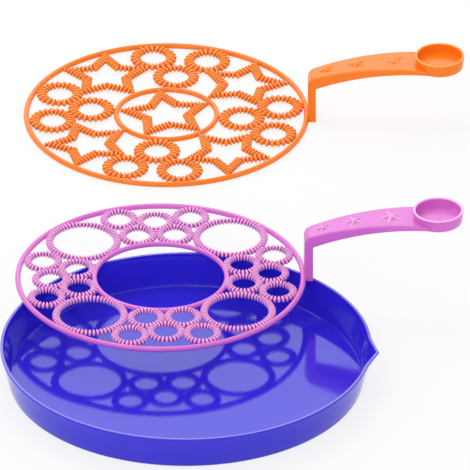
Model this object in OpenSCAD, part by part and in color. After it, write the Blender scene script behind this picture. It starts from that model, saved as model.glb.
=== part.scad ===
// Bubble wand set: two ribbed bubble wands and the round dipping tray they share.
// Millimetres, +Z up, +X towards the handles, origin at the middle of the tray's underside.
// The violet wand lies across the back of the tray and the orange wand on the ground behind it.

/* [Tray] */
// Diameter over the beaded edge
tray_d = 316; // [306:1:330]
// Diameter of the base, where the wall lines would meet it
tray_base_d = 302; // [288:1:306]
// Height of the edge above the ground
tray_h = 31; // [27:0.5:36]
// Thickness of wall and floor
tray_wall = 2; // [1.6:0.1:2.6]
// Thickness of the beaded edge
tray_bead = 3.4; // [3:0.1:4.4]
// Radius between base and wall
tray_round = 3; // [2.8:0.2:6]
// Width of the pouring lip along the edge
spout_w = 54; // [44:1:64]
// How far the pouring lip stands out
spout_reach = 6.5; // [5:0.5:9]
// How far down the wall the pouring lip begins
spout_drop = 20; // [14:1:23]
// Direction of the pouring lip
spout_turn = -4; // [-15:1:15]

/* [Wand head] */
// Diameter over the outer rim of a wand
head_d = 250; // [240:1:260]
// Thickness of the round rim
rim_tube = 6; // [5.4:0.1:7]
// Thickness of the round inner hoop
hub_tube = 5.6; // [5.2:0.1:6.4]
// Flat on the rim and the hoop where the pattern meets them
seat_flat = 0.25; // [0.15:0.05:0.5]
// How deep a ring or a star tip is let into such a flat
seat_bite = 0.8; // [0.6:0.1:1.4]

/* [Ribs] */
// Distance between ribs along a band
rib_pitch = 3.3; // [2.8:0.1:3.6]
// Share of that distance that the rib takes
rib_share = 0.52; // [0.4:0.02:0.6]
// Depth of the grooves between ribs
rib_depth = 0.75; // [0.5:0.05:1]

/* [Orange pattern] */
// Diameter over the hoop in the middle
orange_hub_d = 93; // [90:1:96]
// Diameter over a ring
orange_ring_d = 41; // [40:0.5:42]
// Hole of a ring
orange_ring_hole = 21.5; // [20:0.5:23]
// Height of the ribbed bands
orange_band_h = 4.6; // [4:0.1:5.2]
// How far the rings of a trio run into each other
orange_ring_lap = 2.2; // [1.6:0.1:3]
// Width of a star's band
star_band = 9.2; // [8:0.1:10]
// A star's valley radius as a share of its tip radius
star_valley = 0.55; // [0.5:0.01:0.6]
// Turn of the star in the middle
middle_star_turn = 34; // [0:1:71]
// Turn of the pattern from the handle
orange_pattern_turn = -7; // [-12:1:12]

/* [Violet pattern] */
// Diameter over the hoop in the middle
violet_hub_d = 119; // [116:1:122]
// Diameter over a small ring
violet_ring_d = 33; // [32:0.5:34]
// Thickness of a small ring over its ribs
violet_tube = 5.4; // [5:0.1:5.8]
// Thickness of a large ring over its ribs
large_tube = 5.6; // [5.2:0.1:5.8]
// How deep a large ring is let into the rim and the hoop
large_ring_bite = 2.4; // [2:0.1:2.8]
// How far a group's outer rings run into the large ring beside them
outer_ring_lap = 0.6; // [0.4:0.1:1.2]
// How far a group's middle ring runs into the outer rings
middle_ring_lap = 1.9; // [1.4:0.1:2.4]
// How far a group's inner rings run into its middle ring
inner_ring_lap = 4.9; // [4.5:0.1:5.4]
// Band left where an inner ring is let into the hoop
ring_web = 1.2; // [1:0.1:1.6]
// Turn of the pattern from the handle
violet_pattern_turn = 0; // [-12:1:12]

/* [Handle] */
// Length from the rim to the far side of the thumb cup
handle_l = 134; // [126:1:142]
// Width at the post
handle_w = 19; // [17:0.5:22]
// Width at the thumb cup
handle_end_w = 36; // [32:0.5:38]
// Radius of the arched top, seen from the side
handle_arch_r = 235; // [225:5:260]
// Slope of the top where it leaves the post
handle_slope = 20; // [18:0.5:21]
// Depth of the side walls at the post
handle_depth = 11; // [9:0.5:13]
// Depth of the side walls at the thumb cup
handle_end_depth = 5; // [4:0.5:6]
// Wall of the hollow handle
handle_wall = 2.2; // [1.8:0.1:2.6]
// Depth of the post, from its face to the edge of its side walls
post_depth = 7; // [6:0.5:8]
// How deep the post is let into the rim
post_bite = 2; // [1.5:0.1:2.6]
// How far the post's foot stays above the underside of the rim
post_lift = 0.5; // [0.3:0.1:1]
// Radius of the bend over the post
post_bend = 4.5; // [3.5:0.5:6]
// Room between the handle and the edge of the tray when a wand lies in it
pass_gap = 2; // [1:0.5:4]
// Diameter of the thumb cup
cup_d = 43; // [40:0.5:45]
// Height of the thumb cup
cup_h = 11.5; // [10:0.5:13]
// Depth inside the thumb cup
cup_depth = 8; // [7:0.5:8.5]
// Wall of the thumb cup
cup_wall = 2.2; // [1.8:0.1:2.6]
// Diameter over the raised star next to the post
near_star_d = 14; // [12:0.5:15]
// Diameter over the raised star in the middle
middle_star_d = 18; // [16:0.5:20]
// Diameter over the raised star next to the thumb cup
far_star_d = 24; // [22:0.5:26]
// Height of the raised stars
raised_star_h = 1.8; // [1.2:0.1:2.4]

/* [Resting places] */
// Centre of the violet wand's head, across
violet_x = -22; // [-30:1:-10]
// Centre of the violet wand's head, towards the back
violet_y = 110; // [106:1:118]
// Turn of the violet wand's handle
violet_turn = 3; // [-5:1:10]
// Centre of the orange wand's head, across
orange_x = -18; // [-40:1:20]
// Centre of the orange wand's head, towards the back
orange_y = 446; // [420:1:500]
// Turn of the orange wand's handle
orange_turn = 0; // [-10:1:10]
// Air left between the violet rim and the tray's edge
rest_gap = 0.3; // [0.2:0.1:0.6]

/* [Hidden] */
$fn = 96;
eps = 1;
edge_slope = 0.3;
star_points = 5;
star_share = [0.18, 0.46, 0.82];
groups = 4;
turn = 360 / groups;

function polar(r, a) = [r * cos(a), r * sin(a)];
function unit(v) = v / norm(v);
function opposite_angle(a, b, c) = acos((a * a + b * b - c * c) / (2 * a * b));
function numbered(name, n) = [for (i = [1:n]) str(name, i)];

// Points of a round of radius r at the corner b of the outline a, b, c
function corner(a, b, c, r, n = 6) =
    let (u = unit(a - b), v = unit(c - b), half = acos(u * v) / 2,
         m = b + unit(u + v) * r / sin(half),
         from = b + u * r / tan(half) - m, to = b + v * r / tan(half) - m,
         start = atan2(from.y, from.x), sweep = atan2(to.y, to.x) - start,
         way = sweep > 180 ? sweep - 360 : sweep < -180 ? sweep + 360 : sweep)
    [for (i = [0:n]) m + polar(r, start + way * i / n)];

// Tray
bead_r = tray_bead / 2;
bead_at = tray_d / 2 - bead_r;
bead_z = tray_h - bead_r;
base_r = tray_base_d / 2;
wall_top = bead_at + tray_wall / 2;
function wall_r(z) = base_r + (wall_top - base_r) * z / bead_z;
spout_half = asin(spout_w / 2 / bead_at);
spout_tip = bead_at + spout_reach;
spout_miter = 1.2;
spout_bead_r = 0.9 * bead_r;

// Rim, hoop and the flats where the pattern meets them
rim_r = rim_tube / 2;
rim_at = head_d / 2 - rim_r;
rim_seat = head_d / 2 - rim_tube + seat_flat;
hub_r = hub_tube / 2;
orange_hub_at = orange_hub_d / 2 - hub_r;
orange_hub_seat = orange_hub_d / 2 - seat_flat;
orange_hub_inner_seat = orange_hub_d / 2 - hub_tube + seat_flat;
violet_hub_at = violet_hub_d / 2 - hub_r;
violet_hub_seat = violet_hub_d / 2 - seat_flat;

// Orange pattern: rings as [centre, radius], trio by trio, and the stars between the trios
orange_r = orange_ring_d / 2;
orange_outer_at = rim_seat - orange_r + seat_bite;
orange_inner_at = orange_hub_seat + orange_r - seat_bite;
orange_pair = opposite_angle(orange_outer_at, orange_inner_at, orange_ring_d - orange_ring_lap);
orange_rings = [for (k = [0:groups - 1], p = [
        polar(orange_outer_at, k * turn - orange_pair),
        polar(orange_outer_at, k * turn + orange_pair),
        polar(orange_inner_at, k * turn)]) [p, orange_r]];
step = 180 / star_points;
reach_c = 1 + cos(step);
reach_s = sin(step);
reach = reach_c * reach_c + reach_s * reach_s;
// Tip radius at which one tip meets the hoop and two meet the rim
star_touch = (-orange_hub_seat * reach_c + sqrt(pow(orange_hub_seat * reach_c, 2)
    - reach * (pow(orange_hub_seat, 2) - pow(rim_seat, 2)))) / reach;
star_tip = star_touch + seat_bite;
star_at = orange_hub_seat + star_touch;
middle_star_tip = orange_hub_inner_seat + seat_bite;
tip_half = atan2(star_valley * sin(step), 1 - star_valley * cos(step));

// Violet pattern: small rings, group by group, and the large rings between the groups
violet_r = violet_ring_d / 2;
large_ring_at = (rim_seat + violet_hub_seat) / 2;
large_ring_r = (rim_seat - violet_hub_seat) / 2 + large_ring_bite;
violet_outer_at = rim_seat - violet_r + seat_bite;
violet_inner_at = violet_hub_seat + violet_r - violet_tube + rib_depth + ring_web;
violet_pair = turn / 2
    - opposite_angle(violet_outer_at, large_ring_at, violet_r + large_ring_r - outer_ring_lap);
violet_middle_at = violet_outer_at * cos(violet_pair)
    - sqrt(pow(violet_ring_d - middle_ring_lap, 2) - pow(violet_outer_at * sin(violet_pair), 2));
violet_inner = opposite_angle(violet_middle_at, violet_inner_at, violet_ring_d - inner_ring_lap);
violet_small_rings = [for (k = [0:groups - 1], p = [
        polar(violet_outer_at, k * turn - violet_pair),
        polar(violet_outer_at, k * turn + violet_pair),
        polar(violet_middle_at, k * turn),
        polar(violet_inner_at, k * turn - violet_inner),
        polar(violet_inner_at, k * turn + violet_inner)]) [p, violet_r]];
violet_large_rings = [for (k = [0:groups - 1])
        [polar(large_ring_at, (k + 0.5) * turn), large_ring_r]];
violet_rings = concat(violet_small_rings, violet_large_rings);

// Handle, seen from the side: x along it, y up from the middle of the rim
post_x = head_d / 2 - post_bite;
post_foot = post_lift - rim_r;
under_z = tray_h - tray_wall + pass_gap - rim_r;
cup_r = cup_d / 2;
cup_x = head_d / 2 + handle_l - cup_r;
cup_near = cup_x - cup_r;
arch_x = post_x + handle_arch_r * sin(handle_slope);
arch_z = under_z + handle_depth - handle_arch_r * cos(handle_slope);
function arch(x, r = handle_arch_r) = arch_z + sqrt(r * r - pow(x - arch_x, 2));
under_a = [post_x + post_depth, under_z];
under_b = [cup_near, arch(cup_near) - handle_end_depth];
under_mid = (under_a + under_b) / 2;
under_way = unit(under_b - under_a);
under_drop = sqrt(pow(handle_arch_r, 2) - pow(norm(under_b - under_a) / 2, 2));
under_at = under_mid + [under_way.y, -under_way.x] * under_drop;
bend_x = post_x + post_bend;
bend_at = [bend_x, arch(bend_x, handle_arch_r - post_bend)];
bend_tangent = unit(bend_at - [arch_x, arch_z]) * post_bend + bend_at;
cup_z = under_b.y;
raised_stars = [near_star_d, middle_star_d, far_star_d];
handle_top_l = cup_near - post_x;

orange_color = "#ff7a24";
violet_color = "#d777cd";
blue_color = "#3a2ac8";

// Section of a rib across a flat band, drawn in at its edges
module band_section(w, h) {
    edge = w / 2 - edge_slope * h;
    polygon([[-w / 2, 0], [-edge, -h / 2], [edge, -h / 2], [w / 2, 0], [edge, h / 2], [-edge, h / 2]]);
}

function rib_count(middle) = round(2 * PI * middle / rib_pitch);

// A ring in its place, cut flat where it meets its neighbours
module placed_ring(ring, others, h) {
    difference() {
        translate(ring[0]) children();
        for (o = others) {
            d = norm(o[0] - ring[0]);
            if (d > 0 && d < ring[1] + o[1])
                translate(ring[0]) rotate(atan2(o[0].y - ring[0].y, o[0].x - ring[0].x))
                    translate([(d * d + pow(ring[1], 2) - pow(o[1], 2)) / (2 * d), -ring[1], -h])
                        cube([ring[1], 2 * ring[1], 2 * h]);
        }
    }
}

// A ring of flat section, with ribs set on a plain core
module flat_ring(r, hole, h) {
    band = r - hole / 2;
    middle = r - band / 2;
    count = rib_count(middle);
    rotate_extrude() translate([middle, 0])
        square([band - 2 * edge_slope * h, h - 2 * rib_depth], center = true);
    for (i = [0:count - 1]) rotate(i * 360 / count)
        rotate_extrude(angle = rib_share * 360 / count) translate([middle, 0]) band_section(band, h);
}

// A ring of round section, with grooves cut down to a plain core
module round_ring(r, tube) {
    middle = r - tube / 2;
    count = rib_count(middle);
    difference() {
        rotate_extrude() translate([middle, 0]) circle(tube / 2);
        for (i = [0:count - 1]) rotate(i * 360 / count) difference() {
            rotate_extrude(angle = (1 - rib_share) * 360 / count) translate([middle, 0])
                square(tube + eps, center = true);
            rotate_extrude() translate([middle, 0]) circle(tube / 2 - rib_depth);
        }
    }
}

function star_outline(tip) =
    [for (i = [0:2 * star_points - 1]) polar(i % 2 == 0 ? tip : tip * star_valley, i * step)];

// One star with ribs square to its ten sides
module ribbed_star(tip, h) {
    inset = rib_depth / sin(tip_half);
    hole_tip = tip - star_band / sin(tip_half);
    middle_tip = (tip + hole_tip) / 2;
    side = polar(middle_tip * star_valley, step) - [middle_tip, 0];
    first = -floor(star_band / 2 / tan(tip_half) / rib_pitch);
    last = ceil((norm(side) + star_band / 4) / rib_pitch);
    groove = (1 - rib_share) * rib_pitch / 4;
    linear_extrude(h - 2 * rib_depth, center = true) difference() {
        polygon(star_outline(tip - inset));
        polygon(star_outline(hole_tip + inset));
    }
    for (k = [0:star_points - 1], m = [0, 1]) rotate(2 * k * step) mirror([0, m, 0])
        intersection() {
            translate([middle_tip, 0, 0]) rotate(atan2(side.y, side.x))
                for (i = [first:last]) translate([i * rib_pitch + rib_pitch / 4, 0, 0])
                    rotate([90, 0, 90]) linear_extrude(rib_share * rib_pitch)
                        band_section(star_band, h);
            linear_extrude(2 * h, center = true)
                polygon([[groove / tan(step / 2), groove], [2 * tip, groove],
                    polar(2 * tip, step) + groove * [sin(step), -cos(step)]]);
        }
}

module wall_beyond(r, h) {
    difference() {
        cylinder(r = 2 * r, h = 2 * h, center = true);
        cylinder(r = r, h = 3 * h, center = true);
    }
}

module place_violet() {
    translate([violet_x, violet_y, tray_h + rest_gap + rim_r]) rotate(violet_turn) children();
}

module place_orange() {
    translate([orange_x, orange_y, rim_r]) rotate(orange_turn) children();
}

// Half section of the tray's outside, and of its inside at a wall's inset
module tray_outline(inset, top) {
    foot = [wall_r(inset) - inset, inset];
    edge = [wall_r(top) - inset, top];
    polygon(concat([[0, inset]], corner([0, inset], foot, edge, tray_round - inset), [edge, [0, top]]));
}

// Corners of the pouring lip's wedge: two on the edge, its tip and its foot
function spout_points(inset) =
    let (r = bead_at - inset, low = bead_z - spout_drop + inset)
    [concat(polar(r, spout_half), bead_z), concat(polar(r, -spout_half), bead_z),
     [spout_tip + tray_wall / 2 - spout_miter * inset, 0, bead_z],
     [wall_r(low) - tray_wall / 2 - inset, 0, low]];

module spout(inset, lift) {
    p = spout_points(inset);
    polyhedron(concat(p, [for (i = [0:2]) p[i] + [0, 0, lift]]),
        [[3, 0, 1], [3, 2, 0], [3, 1, 2], [4, 6, 5], [0, 4, 5], [0, 5, 1],
         [1, 5, 6], [1, 6, 2], [2, 6, 4], [2, 4, 0]]);
}

// Dipping tray: a thin shell with a beaded edge and a pouring lip
module tray() {
    tip = [spout_tip, 0, bead_z];
    color(blue_color) rotate(spout_turn) {
        difference() {
            union() {
                rotate(90) rotate_extrude() tray_outline(0, bead_z);
                spout(0, bead_r / 4);
            }
            rotate(90) rotate_extrude() tray_outline(tray_wall, tray_h);
            spout(tray_wall, tray_bead);
        }
        difference() {
            rotate(90) rotate_extrude() translate([bead_at, bead_z]) circle(bead_r);
            spout(tray_wall, tray_bead);
        }
        for (s = [-1, 1]) {
            from = concat(polar(bead_at, s * spout_half), bead_z);
            way = tip - from;
            translate(from) rotate([0, 90, atan2(way.y, way.x)])
                cylinder(r = spout_bead_r, h = norm(way));
        }
        translate(tip) sphere(bead_r);
    }
}

// Outer rim with a flat inside for the pattern and a flat outside for the post
module rim() {
    difference() {
        rotate(90) rotate_extrude() translate([rim_at, 0]) intersection() {
            circle(rim_r);
            translate([rim_seat - rim_at, -rim_tube]) square(2 * rim_tube);
        }
        linear_extrude(2 * rim_tube, center = true) handle_plan(0, post_x);
    }
}

module hub_ring(at, inner_flat) {
    inside = inner_flat ? hub_r - seat_flat : hub_tube;
    rotate_extrude() translate([at, 0]) intersection() {
        circle(hub_r);
        translate([-inside, -hub_tube]) square([inside + hub_r - seat_flat, 2 * hub_tube]);
    }
}

// Side outline of the handle and its post, and of the hollow under it
module handle_side() {
    difference() {
        intersection() {
            translate([arch_x, arch_z]) circle(handle_arch_r);
            translate([post_x, post_foot]) square([cup_x - post_x, handle_arch_r]);
        }
        intersection() {
            translate(under_at) circle(handle_arch_r);
            translate([under_a.x, under_at.y]) square([cup_x, 2 * handle_arch_r]);
        }
        difference() {
            polygon([bend_at, [post_x - eps, bend_at.y], [post_x - eps, bend_tangent.y + eps],
                bend_tangent + (bend_tangent - bend_at) / post_bend * eps]);
            translate(bend_at) circle(post_bend);
        }
    }
}

module handle_hollow() {
    intersection() {
        translate([arch_x, arch_z]) circle(handle_arch_r - handle_wall);
        translate([post_x + handle_wall, post_foot - eps]) square([cup_x - post_x, handle_arch_r]);
    }
}

module handle_plan(inset, from) {
    rate = (handle_end_w - handle_w) / 2 / (cup_near - post_x);
    near = handle_w / 2 - inset + rate * (from - post_x);
    far = handle_w / 2 - inset + rate * (cup_x - post_x);
    polygon([[from, -near], [cup_x, -far], [cup_x, far], [from, near]]);
}

module upright(w) {
    rotate([90, 0, 0]) linear_extrude(w, center = true) children();
}

// Raised five-pointed star with a ridge along each arm
module raised_star(d) {
    sunk = handle_wall / 2;
    drop = pow(d / 2, 2) / 2 / handle_arch_r;
    n = 2 * star_points;
    outline = [for (p = star_outline(d / 2)) concat(p, -drop)];
    polyhedron(concat(outline, [for (p = outline) p - [0, 0, sunk]],
            [[0, 0, raised_star_h], [0, 0, -drop - sunk]]),
        [for (i = [0:n - 1], j = [(i + 1) % n], f = [[j, i, 2 * n], [i, j, n + j], [i, n + j, n + i],
            [n + i, n + j, 2 * n + 1]]) f]);
}

module handle() {
    difference() {
        intersection() {
            upright(2 * handle_end_w) handle_side();
            translate([0, 0, post_foot - eps]) linear_extrude(2 * handle_arch_r) handle_plan(0, post_x - eps);
        }
        intersection() {
            upright(2 * handle_end_w) handle_hollow();
            translate([0, 0, post_foot - 2 * eps]) linear_extrude(2 * handle_arch_r)
                handle_plan(handle_wall, post_x);
        }
        translate([cup_x, 0, 0]) cylinder(r = cup_r, h = 2 * handle_arch_r);
    }
    for (i = [0:len(raised_stars) - 1]) {
        x = post_x + star_share[i] * handle_top_l;
        translate([x, 0, arch(x)]) rotate([0, asin((x - arch_x) / handle_arch_r), 0])
            raised_star(raised_stars[i]);
    }
}

module thumb_cup() {
    lip = cup_wall / 2;
    translate([cup_x, 0, cup_z]) rotate_extrude() {
        square([cup_r, cup_h - cup_depth]);
        translate([cup_r - cup_wall, 0]) square([cup_wall, cup_h - lip]);
        translate([cup_r - lip, cup_h - lip]) circle(lip);
    }
}

// One ring of the orange pattern: two of each trio meet the rim, the third meets the hoop
module orange_ring(i) {
    color(orange_color) place_orange() rotate(orange_pattern_turn) difference() {
        placed_ring(orange_rings[i], orange_rings, orange_band_h)
            flat_ring(orange_r, orange_ring_hole, orange_band_h);
        if (i % 3 < 2) wall_beyond(rim_seat, orange_band_h);
        else cylinder(r = orange_hub_seat, h = 2 * orange_band_h, center = true);
    }
}

// One star between two trios, cut to the rim, the hoop and the rings beside it
module orange_star(k) {
    at = (k + 0.5) * turn;
    color(orange_color) place_orange() rotate(orange_pattern_turn) difference() {
        translate(polar(star_at, at)) rotate(at + 180) ribbed_star(star_tip, orange_band_h);
        wall_beyond(rim_seat, orange_band_h);
        cylinder(r = orange_hub_seat, h = 2 * orange_band_h, center = true);
        for (i = [3 * k + 1, (3 * k + 3) % len(orange_rings)])
            translate(orange_rings[i][0]) cylinder(r = orange_r, h = 2 * orange_band_h, center = true);
    }
}

module orange_middle_star() {
    color(orange_color) place_orange() rotate(orange_pattern_turn + middle_star_turn) difference() {
        ribbed_star(middle_star_tip, orange_band_h);
        wall_beyond(orange_hub_inner_seat, orange_band_h);
    }
}

// One small ring of the violet pattern: of each five, two meet the rim and two the hoop
module violet_ring(i) {
    color(violet_color) place_violet() rotate(violet_pattern_turn) difference() {
        placed_ring(violet_rings[i], violet_rings, violet_tube) round_ring(violet_r, violet_tube);
        if (i % 5 < 2) wall_beyond(rim_seat, violet_tube);
        if (i % 5 > 2) cylinder(r = violet_hub_seat, h = 2 * violet_tube, center = true);
    }
}

module violet_large_ring(k) {
    color(violet_color) place_violet() rotate(violet_pattern_turn) difference() {
        placed_ring(violet_large_rings[k], violet_rings, large_tube) round_ring(large_ring_r, large_tube);
        wall_beyond(rim_seat, large_tube);
        cylinder(r = violet_hub_seat, h = 2 * large_tube, center = true);
    }
}

module orange_rim() { color(orange_color) place_orange() rim(); }
module orange_hub_ring() { color(orange_color) place_orange() hub_ring(orange_hub_at, true); }
module orange_handle() { color(orange_color) place_orange() handle(); }
module orange_thumb_cup() { color(orange_color) place_orange() thumb_cup(); }
module violet_rim() { color(violet_color) place_violet() rim(); }
module violet_hub_ring() { color(violet_color) place_violet() hub_ring(violet_hub_at, false); }
module violet_handle() { color(violet_color) place_violet() handle(); }
module violet_thumb_cup() { color(violet_color) place_violet() thumb_cup(); }

tray();
orange_rim();
orange_hub_ring();
orange_middle_star();
for (k = [1:groups]) orange_star(k - 1);
for (i = [1:len(orange_rings)]) orange_ring(i - 1);
orange_handle();
orange_thumb_cup();
violet_rim();
violet_hub_ring();
for (k = [1:groups]) violet_large_ring(k - 1);
for (i = [1:len(violet_small_rings)]) violet_ring(i - 1);
violet_handle();
violet_thumb_cup();
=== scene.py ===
"""Bubble wand set: two ribbed bubble wands and the round dipping tray that they share.

Sizes are in millimetres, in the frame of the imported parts: +Z up and +X towards the handles.
Only the floor, the lamps and the camera are placed in metres.
"""

import math

import bmesh
import bpy
from mathutils import Matrix, Vector


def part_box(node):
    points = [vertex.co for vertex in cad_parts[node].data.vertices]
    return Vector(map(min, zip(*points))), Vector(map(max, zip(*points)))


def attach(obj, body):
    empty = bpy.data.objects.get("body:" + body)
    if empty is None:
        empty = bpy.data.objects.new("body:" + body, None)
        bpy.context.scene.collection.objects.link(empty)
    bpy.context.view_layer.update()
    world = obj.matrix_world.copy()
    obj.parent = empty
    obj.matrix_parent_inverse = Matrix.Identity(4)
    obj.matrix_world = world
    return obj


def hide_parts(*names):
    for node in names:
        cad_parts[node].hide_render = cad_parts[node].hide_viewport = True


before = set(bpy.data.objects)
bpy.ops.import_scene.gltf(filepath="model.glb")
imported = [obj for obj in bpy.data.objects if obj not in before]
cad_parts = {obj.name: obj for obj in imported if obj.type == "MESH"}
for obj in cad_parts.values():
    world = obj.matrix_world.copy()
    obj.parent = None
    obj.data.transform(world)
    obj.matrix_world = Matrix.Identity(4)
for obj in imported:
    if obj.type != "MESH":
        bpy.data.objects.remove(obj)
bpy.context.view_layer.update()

# Dipping tray: a thin round moulding in deep blue glossy plastic that holds the bubble liquid.
# Its wall flares to a flat-topped edge, which is drawn out to a pouring lip on the handle side,
# and a small round runs between the wall and the flat floor.
MM = 0.001
tray_low, tray_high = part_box("tray")
tray_d = (tray_high.y - tray_low.y) / MM
tray_h = tray_high.z / MM
tray_base_d = 302
tray_wall = 2
tray_round = 3
tray_edge = 2.6
edge_round = 0.6
edge_lean = 60
spout_w = 54
spout_reach = 6.5
spout_drop = 20
spout_soft = 0.8
spout_turn = math.radians(-4)

floor_rings = (0.66, 0.33, 0)
corner_steps = 5
edge_steps = 4
under_steps = 3
wall_steps = 6
lip_steps = 48
round_steps = 320
weld = 0.004

flow_scale = 18.0
flow_swirl = 1.2
ripple_scale = 130.0
ripple_strength = 0.05
ripple_height = 0.0004
grain_scale = 420.0
flow_in_dye = 0.5
grain_in_dye = 0.12
flow_in_gloss = 0.06
grain_in_gloss = 0.04
grain_in_ripple = 0.3

base_r = tray_base_d / 2
edge_at = (tray_d - tray_edge) / 2
edge_z = tray_h - tray_edge / 2
wall_top = edge_at + tray_wall / 2
spout_half = math.asin(spout_w / 2 / edge_at)


class Shade:
    """One socket of a material's nodes, so that shader maths reads as an expression."""

    def __init__(self, tree, socket=None):
        self.tree = tree
        self.socket = socket

    def node(self, kind, settings=None, inputs=None, output=0):
        """Adds a node, sets it up, then fills or links its sockets."""
        new = self.tree.nodes.new(kind)
        for name, value in (settings or {}).items():
            setattr(new, name, value)
        for name, value in (inputs or {}).items():
            if isinstance(value, Shade):
                self.tree.links.new(value.socket, new.inputs[name])
            else:
                new.inputs[name].default_value = value
        return Shade(self.tree, new.outputs[output] if len(new.outputs) else None)

    def maths(self, operation, first, second):
        return self.node("ShaderNodeMath", {"operation": operation}, {0: first, 1: second})

    def __add__(self, other):
        return self.maths("ADD", self, other)

    def __mul__(self, other):
        return self.maths("MULTIPLY", self, other)

    __radd__ = __add__
    __rmul__ = __mul__


def linear(red, green, blue):
    """A colour as a picture shows it, from 0 to 255, in the shader's linear values."""
    parts = [c / 255 for c in (red, green, blue)]
    return [c / 12.92 if c < 0.04045 else ((c + 0.055) / 1.055) ** 2.4 for c in parts] + [1]


def moulded_plastic(name, colour, deep, crest, painted_shade_colour, roughness, ior):
    """Dyed plastic as it leaves the mould: faint flow bands in the dye and a fine surface ripple.

    Vertices marked crest get a painted highlight and vertices marked groove get painted shade, so ribs
    and edges read paler and grooves darker.
    """
    material = bpy.data.materials.new(name)
    material.use_nodes = True
    material.node_tree.nodes.clear()
    shade = Shade(material.node_tree)
    place = shade.node("ShaderNodeTexCoord", output="Object")

    def noise(scale, detail, swirl=0.0):
        sockets = {"Vector": place, "Scale": scale, "Detail": detail, "Distortion": swirl}
        return shade.node("ShaderNodeTexNoise", None, sockets)

    def tinted(share, under, tint):
        sockets = {"Factor": share, "A": under, "B": tint}
        return shade.node("ShaderNodeMix", {"data_type": "RGBA"}, sockets, output=2)

    flow = noise(flow_scale, detail=2.0, swirl=flow_swirl)
    grain = noise(grain_scale, detail=3.0)
    ripple = noise(ripple_scale, detail=1.0)
    dye = tinted(flow * flow_in_dye + grain * grain_in_dye, colour, deep)
    # Painted highlight where a vertex is marked crest, then painted shade where it is marked groove.
    for layer, tint in (("crest", crest), ("groove", painted_shade_colour)):
        share = shade.node("ShaderNodeAttribute", {"attribute_name": layer}, output="Fac")
        dye = tinted(share, dye, tint)
    bump = shade.node(
        "ShaderNodeBump",
        None,
        {
            "Strength": ripple_strength,
            "Distance": ripple_height,
            "Height": ripple + grain * grain_in_ripple,
        },
    )
    surface = shade.node(
        "ShaderNodeBsdfPrincipled",
        None,
        {
            "Base Color": dye,
            "Roughness": roughness + flow * flow_in_gloss + grain * grain_in_gloss,
            "IOR": ior,
            "Normal": bump,
        },
    )
    shade.node("ShaderNodeOutputMaterial", None, {"Surface": surface})
    return material


def arc(centre, radius, start, end, steps):
    """Points of an arc in a flat outline, with its angles in degrees."""
    turns = [math.radians(start + (end - start) * i / steps) for i in range(steps + 1)]
    return [(centre[0] + radius * math.cos(t), centre[1] + radius * math.sin(t)) for t in turns]


def revolve(bm, outline, angles, shift=None):
    """Turns an outline of (radius, height) points about Z. It starts and ends on the axis."""
    rows = []
    for angle in angles:
        row = []
        for r, z in outline:
            out = r + (shift(z, angle) if shift else 0)
            row.append(bm.verts.new((out * math.cos(angle), out * math.sin(angle), z)))
        rows.append(row)
    for i, here in enumerate(rows):
        there = rows[(i + 1) % len(rows)]
        for j in range(len(outline) - 1):
            bm.faces.new((here[j], there[j], there[j + 1], here[j + 1]))


def finish_piece(name, bm, material, body, nodes, sharp):
    """Makes the mesh an object in metres that rides on a body and stands for its nodes.

    Edges that bend by more than sharp degrees stay crisp.
    """
    bmesh.ops.remove_doubles(bm, verts=bm.verts, dist=weld)
    bmesh.ops.recalc_face_normals(bm, faces=bm.faces)
    mesh = bpy.data.meshes.new(name)
    bm.to_mesh(mesh)
    bm.free()
    mesh.transform(Matrix.Scale(MM, 4))
    mesh.materials.append(material)
    mesh.shade_smooth()
    mesh.set_sharp_from_angle(angle=math.radians(sharp))
    piece = bpy.data.objects.new(name, mesh)
    bpy.context.scene.collection.objects.link(piece)
    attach(piece, body)
    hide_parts(*nodes)


def wall_r(z):
    return base_r + (wall_top - base_r) * z / edge_z


def spout_shift(z, angle):
    """How far the pouring lip moves a point of the wall outwards.

    The lip's two sides start softly from the round wall and run straight to a point.
    """
    rise = min(1, max(0, (z - edge_z + spout_drop) / spout_drop))
    turn = abs(math.remainder(angle - spout_turn, 2 * math.pi))
    half = spout_half * rise
    if turn >= half:
        return 0
    start = Vector((math.cos(half), math.sin(half))) * edge_at
    way = Vector((edge_at + spout_reach * rise, 0)) - start
    ray = Vector((math.cos(turn), math.sin(turn)))
    sharp = (start.x * way.y - start.y * way.x) / (ray.x * way.y - ray.y * way.x) - edge_at
    return sharp * sharp * (1 + spout_soft / spout_reach) / (sharp + spout_soft)


wall_lean = math.degrees(math.atan2(wall_top - base_r, edge_z))
wall_levels = [edge_z * k / wall_steps for k in range(2, wall_steps)]
foot_at = base_r - tray_round * math.tan(math.radians(45 - wall_lean / 2))
inner_foot = wall_r(tray_wall) - tray_wall
inner_round = tray_round - tray_wall
inner_corner = (inner_foot - inner_round, tray_wall + inner_round)
edge_out = tray_d / 2 - edge_round
edge_in = tray_d / 2 - tray_edge + edge_round
edge_low = tray_h - tray_edge + edge_round
edge_high = tray_h - edge_round
edge_top = tray_h - edge_round / 4

tray_section = [(0, 0), (base_r / 2, 0)]
tray_section += arc((foot_at, tray_round), tray_round, -90, -wall_lean, corner_steps)
tray_section += [(wall_r(z), z) for z in wall_levels]
tray_section += arc((edge_out, edge_low), edge_round, -edge_lean, 0, under_steps)
tray_section += arc((edge_out, edge_high), edge_round, 0, 90, edge_steps)
tray_section += arc((edge_in, edge_high), edge_round, 90, 180, edge_steps)
tray_section += arc((edge_in, edge_low), edge_round, 180, 180 + edge_lean, under_steps)
tray_section += [(wall_r(z) - tray_wall, z) for z in reversed(wall_levels)]
tray_section += arc(inner_corner, inner_round, -wall_lean, -90, edge_steps)
tray_section += [(inner_foot * share, tray_wall) for share in floor_rings]

open_turn = 2 * math.pi - 2 * spout_half
tray_angles = [spout_turn - spout_half + 2 * spout_half * i / lip_steps for i in range(lip_steps)]
tray_angles += [spout_turn + spout_half + open_turn * i / round_steps for i in range(round_steps)]

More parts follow.
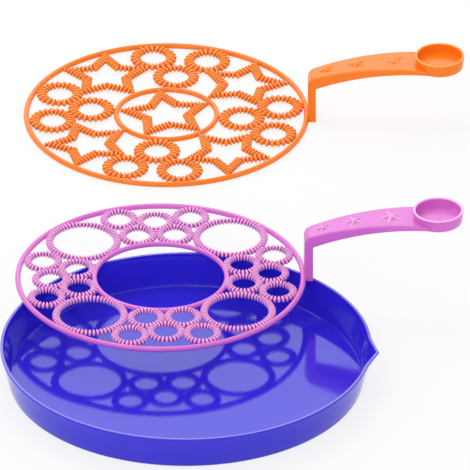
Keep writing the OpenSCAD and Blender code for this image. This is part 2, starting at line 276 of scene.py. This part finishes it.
deep_blue = linear(47, 34, 206)
# The crest tint of the blue plastic is a painted highlight along the flat top of the tray's edge.
blue_plastic = moulded_plastic(
    "blue plastic",
    colour=linear(54, 40, 218),
    deep=deep_blue,
    crest=linear(124, 118, 232),
    painted_shade_colour=deep_blue,
    roughness=0.03,
    ior=1.42,
)
bm = bmesh.new()
painted_highlight_layer = bm.verts.layers.float.new("crest")
revolve(bm, tray_section, tray_angles, spout_shift)
# Painted highlight on the flat top of the edge.
for vert in bm.verts:
    vert[painted_highlight_layer] = float(vert.co.z > edge_top)
finish_piece("tray_shell", bm, blue_plastic, "tray", ["tray"], sharp=28)

# Rims and inner hoops: plain round bars that carry the pattern of each wand's head.
# They are part of the wand's one moulding, and the violet hoop is the larger of the two.
# Each bar lies at the foot of the space that the head has for it, so the underside is level.
head_d = 250
rim_space = 6
rim_bar = 4.8
hub_space = 5.6
hub_bar = 4.6
hub_d = {"orange": 93, "violet": 119}
wand_turn = {"orange": 0, "violet": math.radians(3)}
hoop_steps = 240
bar_sides = 20

rim_r = rim_space / 2
# In each wand's plastic the crest tint is a painted highlight on rib crests, star ridges and the cup's
# edge, and the darkest tint is painted shade in grooves and star valleys.
wand_plastic = {
    "orange": moulded_plastic(
        "orange plastic",
        colour=linear(255, 134, 20),
        deep=linear(255, 118, 12),
        crest=linear(255, 164, 62),
        painted_shade_colour=linear(222, 52, 0),
        roughness=0.16,
        ior=1.4,
    ),
    "violet": moulded_plastic(
        "violet plastic",
        colour=linear(228, 122, 214),
        deep=linear(212, 100, 202),
        crest=linear(255, 192, 245),
        painted_shade_colour=linear(170, 10, 144),
        roughness=0.16,
        ior=1.43,
    ),
}
wands = {}
for colour, turn in wand_turn.items():
    low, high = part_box(f"{colour}_hub_ring")
    wands[colour] = Matrix.Translation((low + high) / 2 / MM) @ Matrix.Rotation(turn, 4, "Z")


def wand_piece(name, bm, colour, nodes, sharp=35):
    """A piece of one wand, in that wand's plastic."""
    finish_piece(name, bm, wand_plastic[colour], f"{colour}_wand", nodes, sharp)


def polar(r, angle):
    return Vector((r * math.cos(angle), r * math.sin(angle), 0))


def join_sections(bm, sections, loop):
    """Skins a row of sections, each one a list of points of equal count, into a closed body.

    A row that loops joins up with itself. Otherwise its ends are closed across the section.
    """
    rows = [[bm.verts.new(p) for p in section] for section in sections]
    count = len(rows[0])
    for i in range(len(rows) if loop else len(rows) - 1):
        here, there = rows[i], rows[(i + 1) % len(rows)]
        for j in range(count):
            k = (j + 1) % count
            bm.faces.new((here[j], there[j], there[k], here[k]))
    ends = [] if loop else [rows[0], rows[-1]]
    for row in ends:
        for j in range(count // 2 - 1):
            bm.faces.new((row[j], row[j + 1], row[count - 2 - j], row[count - 1 - j]))
    return rows


def bar_ring(bm, place, at, radius):
    """A plain hoop of round bar."""
    bar = [polar(radius, 2 * math.pi * j / bar_sides) for j in range(bar_sides)]
    sections = []
    for i in range(hoop_steps):
        out = polar(1, 2 * math.pi * i / hoop_steps)
        sections.append([place @ (out * (at + p.x) + Vector((0, 0, p.y))) for p in bar])
    join_sections(bm, sections, loop=True)


for colour, place in wands.items():
    hoops = (("rim", head_d, rim_space, rim_bar), ("hub_ring", hub_d[colour], hub_space, hub_bar))
    for part, d, space, bar in hoops:
        bm = bmesh.new()
        foot = Matrix.Translation((0, 0, (bar - space) / 2))
        bar_ring(bm, place @ foot, (d - space) / 2, bar / 2)
        wand_piece(f"{colour}_{part}_bar", bm, colour, [f"{colour}_{part}"])

# Ribbed rings: closed bands with deep round ribs that hold the liquid, like a coil bent into a ring.
# The orange ones have a flat section and stand in trios, and the violet ones are round bars
# that stand in fives between four large rings. Where two rings meet, they run into each other.
seat_flat = 0.25
seat_bite = 0.8
groups = 4
rib_profile = (1, 0.78, 0.36, 0.09, 0, 0.09, 0.36, 0.78)
rib_sides = 12
rib_fullness = 0.8
groove_shade = 1.2
ring_overlap = 0.05
rib_sharp = 70

rim_seat = head_d / 2 - rim_space + seat_flat
group_turn = 2 * math.pi / groups
rib_steps = len(rib_profile)


def opposite_angle(a, b, c):
    return math.acos((a * a + b * b - c * c) / (2 * a * b))


def groove(step):
    """How deep the band is sunk at one of the steps from groove to groove, from 0 to 1."""
    return rib_profile[step % rib_steps]


def ribbed_band(sections, loop):
    """Skins a ribbed band and marks each point's place on the rib: painted shade in the grooves, painted
    highlight on the crests.
    """
    band = bmesh.new()
    sunk = band.verts.layers.float.new("groove")
    crest_highlight_layer = band.verts.layers.float.new("crest")
    for i, row in enumerate(join_sections(band, sections, loop)):
        for vert in row:
            # Painted shade deepens towards each groove, and painted highlight grows towards each crest.
            vert[sunk] = groove(i) ** groove_shade
            vert[crest_highlight_layer] = 1 - vert[sunk]
    return band


def rib_section(half_w, half_h, depth, step):
    """Points (across, up) of the ribbed band at one of the steps."""
    sunk = depth * groove(step)
    points = []
    for j in range(rib_sides):
        a = 2 * math.pi * j / rib_sides
        across = math.copysign(abs(math.cos(a)) ** rib_fullness, math.cos(a))
        up = math.copysign(abs(math.sin(a)) ** rib_fullness, math.sin(a))
        points.append(((half_w - sunk) * across, (half_h - sunk) * up))
    return points


def cut_flat(band, at, normal):
    """Takes away what lies beyond a plane."""
    everything = band.verts[:] + band.edges[:] + band.faces[:]
    bmesh.ops.bisect_plane(band, geom=everything, plane_co=at, plane_no=normal, clear_outer=True)


def add_copies(bm, band, places):
    """Adds a copy of the band at each place, and lets go of the band itself."""
    mesh = bpy.data.meshes.new("band")
    band.to_mesh(mesh)
    band.free()
    for place in places:
        copy = mesh.copy()
        copy.transform(place)
        bm.from_mesh(copy)
        bpy.data.meshes.remove(copy)
    bpy.data.meshes.remove(mesh)


def ribbed_ring(bm, place, ring, half_w, half_h, depth, pitch, others):
    """One ribbed ring, cut flat just past half way to each ring that it runs into."""
    centre, outer = ring
    middle = outer - half_w
    steps = round(2 * math.pi * middle / pitch) * rib_steps
    sections = []
    for i in range(steps):
        out = polar(1, 2 * math.pi * i / steps)
        section = rib_section(half_w, half_h, depth, i)
        sections.append([centre + out * (middle + across) + Vector((0, 0, up)) for across, up in section])
    band = ribbed_band(sections, loop=True)
    for other_centre, other_outer in others:
        way = other_centre - centre
        gap = way.length
        if 0 < gap < outer + other_outer:
            way.normalize()
            cut = (gap * gap + outer * outer - other_outer * other_outer) / (2 * gap) + ring_overlap
            cut_flat(band, centre + way * cut, way)
            bmesh.ops.holes_fill(band, edges=[e for e in band.edges if e.is_boundary])
    add_copies(bm, band, [place])


orange_pattern_turn = math.radians(-7)
orange_r = 20.5
orange_half_w = 4.75
orange_half_h = 2.7
orange_rib_depth = 1.9
orange_pitch = 4.3
orange_ring_lap = 2.2

orange_hub_seat = hub_d["orange"] / 2 - seat_flat
orange_outer_at = rim_seat - orange_r + seat_bite
orange_inner_at = orange_hub_seat + orange_r - seat_bite
orange_pair = opposite_angle(orange_outer_at, orange_inner_at, 2 * orange_r - orange_ring_lap)
orange_rings = []
for k in range(groups):
    orange_rings += [
        (polar(orange_outer_at, k * group_turn - orange_pair), orange_r),
        (polar(orange_outer_at, k * group_turn + orange_pair), orange_r),
        (polar(orange_inner_at, k * group_turn), orange_r),
    ]
orange_place = wands["orange"] @ Matrix.Rotation(orange_pattern_turn, 4, "Z")
bm = bmesh.new()
for ring in orange_rings:
    ribbed_ring(
        bm, orange_place, ring, orange_half_w, orange_half_h, orange_rib_depth, orange_pitch, orange_rings
    )
orange_ring_nodes = [f"orange_ring_{i + 1}" for i in range(len(orange_rings))]
wand_piece("orange_ribbed_rings", bm, "orange", orange_ring_nodes, rib_sharp)

violet_r = 16.5
violet_half_w = 3.3
violet_half_h = 2.7
violet_rib_depth = 1.6
violet_pitch = 3.25
large_ring_bite = 2.4
inner_ring_bite = 3.45
outer_ring_lap = 0.6
middle_ring_lap = 1.9
inner_ring_lap = 4.9

violet_hub_seat = hub_d["violet"] / 2 - seat_flat
large_ring_at = (rim_seat + violet_hub_seat) / 2
large_ring_r = (rim_seat - violet_hub_seat) / 2 + large_ring_bite
violet_outer_at = rim_seat - violet_r + seat_bite
violet_inner_at = violet_hub_seat + violet_r - inner_ring_bite
violet_pair = group_turn / 2 - opposite_angle(
    violet_outer_at, large_ring_at, violet_r + large_ring_r - outer_ring_lap
)
violet_middle_at = violet_outer_at * math.cos(violet_pair) - math.sqrt(
    (2 * violet_r - middle_ring_lap) ** 2 - (violet_outer_at * math.sin(violet_pair)) ** 2
)
violet_inner = opposite_angle(violet_middle_at, violet_inner_at, 2 * violet_r - inner_ring_lap)
violet_rings = []
for k in range(groups):
    violet_rings += [
        (polar(violet_outer_at, k * group_turn - violet_pair), violet_r),
        (polar(violet_outer_at, k * group_turn + violet_pair), violet_r),
        (polar(violet_middle_at, k * group_turn), violet_r),
        (polar(violet_inner_at, k * group_turn - violet_inner), violet_r),
        (polar(violet_inner_at, k * group_turn + violet_inner), violet_r),
    ]
large_rings = [(polar(large_ring_at, (k + 0.5) * group_turn), large_ring_r) for k in range(groups)]
for name, rings in (("ring", violet_rings), ("large_ring", large_rings)):
    bm = bmesh.new()
    for ring in rings:
        ribbed_ring(
            bm, wands["violet"], ring, violet_half_w, violet_half_h, violet_rib_depth, violet_pitch,
            violet_rings + large_rings,
        )
    violet_nodes = [f"violet_{name}_{i + 1}" for i in range(len(rings))]
    wand_piece(f"violet_ribbed_{name}s", bm, "violet", violet_nodes, rib_sharp)

# Ribbed stars: five-pointed bands with the same ribs, one in each space between two trios of the
# orange head and one inside its hoop. Their tips run into the rim and the hoop.
star_points = 5
star_half_w = 4.6
star_bite = 2.3
star_valley = 0.55
star_pitch = 3.6
middle_star_turn = math.radians(34)

# A star between two trios has one tip at the hoop and two at the rim, which settles its size.
star_step = math.pi / star_points
reach_c = 1 + math.cos(star_step)
reach = reach_c**2 + math.sin(star_step) ** 2
star_touch = (
    math.sqrt((orange_hub_seat * reach_c) ** 2 - reach * (orange_hub_seat**2 - rim_seat**2))
    - orange_hub_seat * reach_c
) / reach
star_tip = star_touch + star_bite
middle_star_tip = hub_d["orange"] / 2 - hub_space + seat_flat + star_bite
tip_half = math.atan2(star_valley * math.sin(star_step), 1 - star_valley * math.cos(star_step))


def ribbed_star(bm, place, tip):
    """One star: a ribbed bar, cut where two sides meet, copied to the ten sides and joined up.

    The bar starts half a rib before the tip, so that a crest stands at each tip.
    """
    middle_tip = tip - star_half_w / math.sin(tip_half)
    start = polar(middle_tip, 0)
    side = polar(middle_tip * star_valley, star_step) - start
    along = side.normalized()
    across = Vector((-along.y, along.x, 0))
    spare = star_half_w / math.tan(tip_half)
    length = side.length + 2 * spare
    steps = round(length / star_pitch) * rib_steps
    half_rib = rib_steps // 2
    sections = []
    for i in range(-half_rib, steps + half_rib + 1):
        at = start + along * (length * i / steps - spare)
        section = rib_section(star_half_w, orange_half_h, orange_rib_depth, i + half_rib)
        sections.append([at + across * w + Vector((0, 0, up)) for w, up in section])
    band = ribbed_band(sections, loop=False)
    for normal in (Vector((0, -1, 0)), Vector((-math.sin(star_step), math.cos(star_step), 0))):
        cut_flat(band, Vector(), normal)
    places = []
    for k in range(star_points):
        turned = place @ Matrix.Rotation(2 * k * star_step, 4, "Z")
        places += [turned, turned @ Matrix.Diagonal((1, -1, 1, 1))]
    add_copies(bm, band, places)


bm = bmesh.new()
for k in range(groups):
    at = (k + 0.5) * group_turn
    star_middle = Matrix.Translation(polar(orange_hub_seat + star_touch, at))
    ribbed_star(bm, orange_place @ star_middle @ Matrix.Rotation(at + math.pi, 4, "Z"), star_tip)
ribbed_star(bm, orange_place @ Matrix.Rotation(middle_star_turn, 4, "Z"), middle_star_tip)
star_nodes = [f"orange_star_{k + 1}" for k in range(groups)] + ["orange_middle_star"]
wand_piece("orange_ribbed_stars", bm, "orange", star_nodes, rib_sharp)

# Handles: an arched strip, open underneath, on a post that lifts it over the tray's edge.
# It widens towards the thumb cup, its upper edges are rounded, and three raised stars sit on it,
# each given by its size across and its share of the way to the cup.
handle_l = 134
handle_w = 19
handle_end_w = 36
handle_arch_r = 235
handle_slope = math.radians(20)
handle_depth = 8.5
handle_end_depth = 4
handle_wall = 2.2
handle_round = 1.5
post_depth = 7
post_bite = 2
post_lift = 0.5
post_bend = 8
pass_gap = 4.5
cup_d = 43
cup_drop = 5
cup_sink = 1.4
flare_from = 0.6
raised_stars = ((17, 0.17), (21, 0.455), (25, 0.8))
raised_star_h = 2.4
raised_star_valley = 0.43
raised_star_painted_shade = 0.6
post_steps = 6
bend_steps = 8
strip_steps = 40
flat_steps = 5

post_x = head_d / 2 - post_bite
post_foot = post_lift - rim_r
under_z = tray_h - tray_wall + pass_gap - rim_r
cup_r = cup_d / 2
cup_x = head_d / 2 + handle_l - cup_r
cup_near = cup_x - cup_r
arch_x = post_x + handle_arch_r * math.sin(handle_slope)
arch_z = under_z + handle_depth - handle_arch_r * math.cos(handle_slope)
arch_at = Vector((arch_x, arch_z))


def on_arc(centre, x, radius=handle_arch_r):
    """The point at x on the upper side of an arc, as (along, up)."""
    return Vector((x, centre.y + math.sqrt(radius * radius - (x - centre.x) ** 2)))


under_a = Vector((post_x + post_depth, under_z))
under_b = on_arc(arch_at, cup_near) - Vector((0, handle_end_depth))
under_way = (under_b - under_a).normalized()
under_drop = math.sqrt(handle_arch_r**2 - ((under_b - under_a).length / 2) ** 2)
under_at = (under_a + under_b) / 2 + Vector((under_way.y, -under_way.x)) * under_drop
bend_at = on_arc(arch_at, post_x + post_bend, handle_arch_r - post_bend)
bend_end = bend_at + (bend_at - arch_at).normalized() * post_bend
bend_start_angle = math.pi
bend_end_angle = math.atan2(bend_end.y - bend_at.y, bend_end.x - bend_at.x)
cup_z = on_arc(arch_at, cup_near).y - cup_drop


def half_width(x):
    return (handle_w + (handle_end_w - handle_w) * (x - post_x) / (cup_near - post_x)) / 2


def strip_section():
    """Points of the strip's section as (side, inset from the side, depth), with no depth at its edge."""
    corner = arc((0, 0), handle_round, 0, 90, corner_steps)
    rounded = [(handle_round - x, handle_round - y) for x, y in corner]
    across = [s / flat_steps for s in range(1 - flat_steps, flat_steps)]
    outside = [(-1, 0, None)] + [(-1, inset, deep) for inset, deep in rounded]
    outside += [(s, handle_round, 0) for s in across]
    outside += [(1, inset, deep) for inset, deep in reversed(rounded)] + [(1, 0, None)]
    inside = [(s, handle_wall, None if deep is None else handle_wall) for s, _, deep in outside]
    return outside + inside[::-1]


def strip_row(top, edge):
    """One section of the strip, where top and edge give its two lines at a distance from the middle."""
    row = []
    for side, inset, deep in strip_section():
        y = side * (half_width(top(0).x) - inset)
        high, low = top(y), edge(y)
        way = (low - high).normalized()
        at = low if deep is None else high + way * deep
        row.append(Vector((at.x, side * (half_width(at.x) - inset), at.y)))
    return row


def straight(point):
    """A line of the strip that runs square across it."""
    return lambda y: point


def flared(centre, x, share):
    """A line of the strip on an arc, which takes up the cup's round wall by a share."""
    wall_at = cup_r - cup_sink
    return lambda y: on_arc(centre, x + share * (cup_x - math.sqrt(wall_at * wall_at - y * y) - cup_near))


strip_rows = []
for i in range(post_steps + 1):
    z = post_foot + (bend_at.y - post_foot) * i / post_steps
    edge = Vector((under_a.x, min(z, under_z)))
    strip_rows.append(strip_row(straight(Vector((post_x, z))), straight(edge)))
for i in range(1, bend_steps + 1):
    a = bend_start_angle + (bend_end_angle - bend_start_angle) * i / bend_steps
    top = bend_at + Vector((math.cos(a), math.sin(a))) * post_bend
    strip_rows.append(strip_row(straight(top), straight(under_a)))
for i in range(1, strip_steps + 1):
    share = i / strip_steps
    flare = max(0, share - flare_from) / (1 - flare_from)
    top_x = bend_end.x + (cup_near - bend_end.x) * share
    edge_x = under_a.x + (cup_near - under_a.x) * share
    strip_rows.append(strip_row(flared(arch_at, top_x, flare), flared(under_at, edge_x, flare)))


def raised_star(bm, painted_highlight_layer, painted_shade_layer, place, d):
    """A five-pointed star, let into the strip's top, with a painted highlight on its ridges and painted
    shade in its valleys.
    """
    sink = (d / 2) ** 2 / 2 / handle_arch_r
    foot = sink + handle_wall / 2
    outline = [
        polar(d / 2 * (raised_star_valley if i % 2 else 1), i * star_step) for i in range(2 * star_points)
    ]
    peak = bm.verts.new(place @ Vector((0, 0, raised_star_h)))
    base = bm.verts.new(place @ Vector((0, 0, -foot)))
    upper = [bm.verts.new(place @ (p - Vector((0, 0, sink)))) for p in outline]
    lower = [bm.verts.new(place @ (p - Vector((0, 0, foot)))) for p in outline]
    # Painted highlight on the peak and the tips, painted shade at the inner corners.
    for vert in [peak] + upper[::2]:
        vert[painted_highlight_layer] = 1
    for vert in upper[1::2]:
        vert[painted_shade_layer] = raised_star_painted_shade
    for i in range(len(outline)):
        j = (i + 1) % len(outline)
        bm.faces.new((upper[i], upper[j], peak))
        bm.faces.new((lower[i], lower[j], upper[j], upper[i]))
        bm.faces.new((lower[j], lower[i], base))


for colour, place in wands.items():
    bm = bmesh.new()
    painted_highlight_layer = bm.verts.layers.float.new("crest")
    painted_shade_layer = bm.verts.layers.float.new("groove")
    join_sections(bm, [[place @ p for p in row] for row in strip_rows], loop=False)
    for d, share in raised_stars:
        at = on_arc(arch_at, post_x + share * (cup_near - post_x))
        lean = math.asin((at.x - arch_at.x) / handle_arch_r)
        seat = Matrix.Translation((at.x, 0, at.y)) @ Matrix.Rotation(lean, 4, "Y")
        raised_star(bm, painted_highlight_layer, painted_shade_layer, place @ seat @ Matrix.Rotation(math.pi, 4, "Z"), d)
    wand_piece(f"{colour}_grip", bm, colour, [f"{colour}_handle"], sharp=24)

# Thumb cups: round dishes with a rolled edge, which close the end of each handle.
# They are moulded with the handle and stand a little above it.
cup_h = 11.5
cup_depth = 8
cup_wall = 2.2
cup_round = 1.2
cup_draft = 1
cup_lip_steps = 10
cup_steps = 96

cup_lip = cup_wall / 2
cup_floor = cup_h - cup_depth
cup_inner = cup_r - cup_wall
cup_section = [(0, 0), (cup_r / 2, 0)]
cup_section += arc((cup_r - cup_draft - cup_round, cup_round), cup_round, -90, 0, corner_steps)
cup_section += arc((cup_r - cup_lip, cup_h - cup_lip), cup_lip, 0, 180, cup_lip_steps)
cup_section += arc((cup_inner - cup_round, cup_floor + cup_round), cup_round, 0, -90, corner_steps)
cup_section += [(cup_inner / 2, cup_floor), (0, cup_floor)]

for colour, place in wands.items():
    bm = bmesh.new()
    painted_highlight_layer = bm.verts.layers.float.new("crest")
    revolve(bm, cup_section, [2 * math.pi * i / cup_steps for i in range(cup_steps)])
    # Painted highlight on the top of the rolled edge.
    for vert in bm.verts:
        vert[painted_highlight_layer] = float(vert.co.z > cup_h - cup_lip)
    bm.transform(place @ Matrix.Translation((cup_x, 0, cup_z)))
    wand_piece(f"{colour}_cup", bm, colour, [f"{colour}_thumb_cup"])

# Pale floor and soft studio light: a plain white sweep, white surroundings that the gloss mirrors,
# a round lamp overhead, a wide lamp in front and a long panel behind, which shows in the tray's floor.
# Each lamp is given by its name, shape, place, width, height and power.
floor_size = 12
floor_drop = 0.0003
floor_white = 0.9
floor_glow = 0.8
fill = 0.72
lamp_aim = Vector((0.04, 0.2, 0))
lamps = (
    ("round lamp", "DISK", Vector((-0.35, 0.95, 1.7)), 1.1, 1.1, 9),
    ("front lamp", "DISK", Vector((-0.8, -2.2, 1.4)), 1.6, 1.6, 14),
    ("back panel", "RECTANGLE", Vector((0, 3.6, 2.3)), 5, 2.2, 36),
)
white = (1, 1, 1, 1)


def seen_directly(shade):
    """One for rays from the camera and for rays that gloss or clear plastic sends on."""
    seen = shade.node("ShaderNodeLightPath", output="Is Camera Ray")
    for ray in ("Is Glossy Ray", "Is Transmission Ray"):
        seen = shade.maths("MAXIMUM", seen, shade.node("ShaderNodeLightPath", output=ray))
    return seen


floor_material = bpy.data.materials.new("white floor")
floor_material.use_nodes = True
floor_material.node_tree.nodes.clear()
shade = Shade(floor_material.node_tree)
matt = shade.node("ShaderNodeBsdfDiffuse", None, {"Color": (floor_white, floor_white, floor_white, 1)})
glow = shade.node("ShaderNodeEmission", None, {"Color": white, "Strength": 1.0})
mixed = shade.node("ShaderNodeMixShader", None, {0: seen_directly(shade) * floor_glow, 1: matt, 2: glow})
shade.node("ShaderNodeOutputMaterial", None, {"Surface": mixed})

bm = bmesh.new()
half = floor_size / 2
corners = ((-half, -half), (half, -half), (half, half), (-half, half))
bm.faces.new([bm.verts.new((x, y, -floor_drop)) for x, y in corners])
floor_mesh = bpy.data.meshes.new("floor")
bm.to_mesh(floor_mesh)
bm.free()
floor_mesh.materials.append(floor_material)
floor = bpy.data.objects.new("floor", floor_mesh)
bpy.context.scene.collection.objects.link(floor)

world = bpy.data.worlds.new("white surroundings")
world.use_nodes = True
world.node_tree.nodes.clear()
shade = Shade(world.node_tree)
sky = shade.node(
    "ShaderNodeBackground", None, {"Color": white, "Strength": fill + seen_directly(shade) * (1 - fill)}
)
shade.node("ShaderNodeOutputWorld", None, {"Surface": sky})
bpy.context.scene.world = world

for name, shape, at, width, height, power in lamps:
    lamp = bpy.data.lights.new(name, "AREA")
    lamp.shape = shape
    lamp.size = width
    lamp.size_y = height
    lamp.energy = power
    stand = bpy.data.objects.new(name, lamp)
    stand.location = at
    stand.rotation_euler = (lamp_aim - at).to_track_quat("-Z", "Y").to_euler()
    bpy.context.scene.collection.objects.link(stand)

# Camera: far off with a long lens, as the photograph has almost no perspective.
# The middle of the tray's edge is put at its pixel in the photograph.
picture = 470
pixel = 0.85 * MM
lens = 1500
sensor = 36
elevation = math.radians(30)
tray_seen_at = (186, 345)

toward = Vector((0, -math.cos(elevation), math.sin(elevation)))
upward = Vector((0, math.sin(elevation), math.cos(elevation)))
aim = Vector((0, 0, tray_h * MM))
aim.x += (picture / 2 - tray_seen_at[0]) * pixel
aim += upward * (tray_seen_at[1] - picture / 2) * pixel
camera = bpy.data.cameras.new("camera")
camera.sensor_width = sensor
camera.lens = lens
camera.clip_end = 100
viewer = bpy.data.objects.new("camera", camera)
viewer.location = aim + toward * (picture * pixel * lens / sensor)
viewer.rotation_euler = (-toward).to_track_quat("-Z", "Y").to_euler()
bpy.context.scene.collection.objects.link(viewer)
bpy.context.scene.camera = viewer
bpy.context.scene.view_settings.view_transform = "Standard"
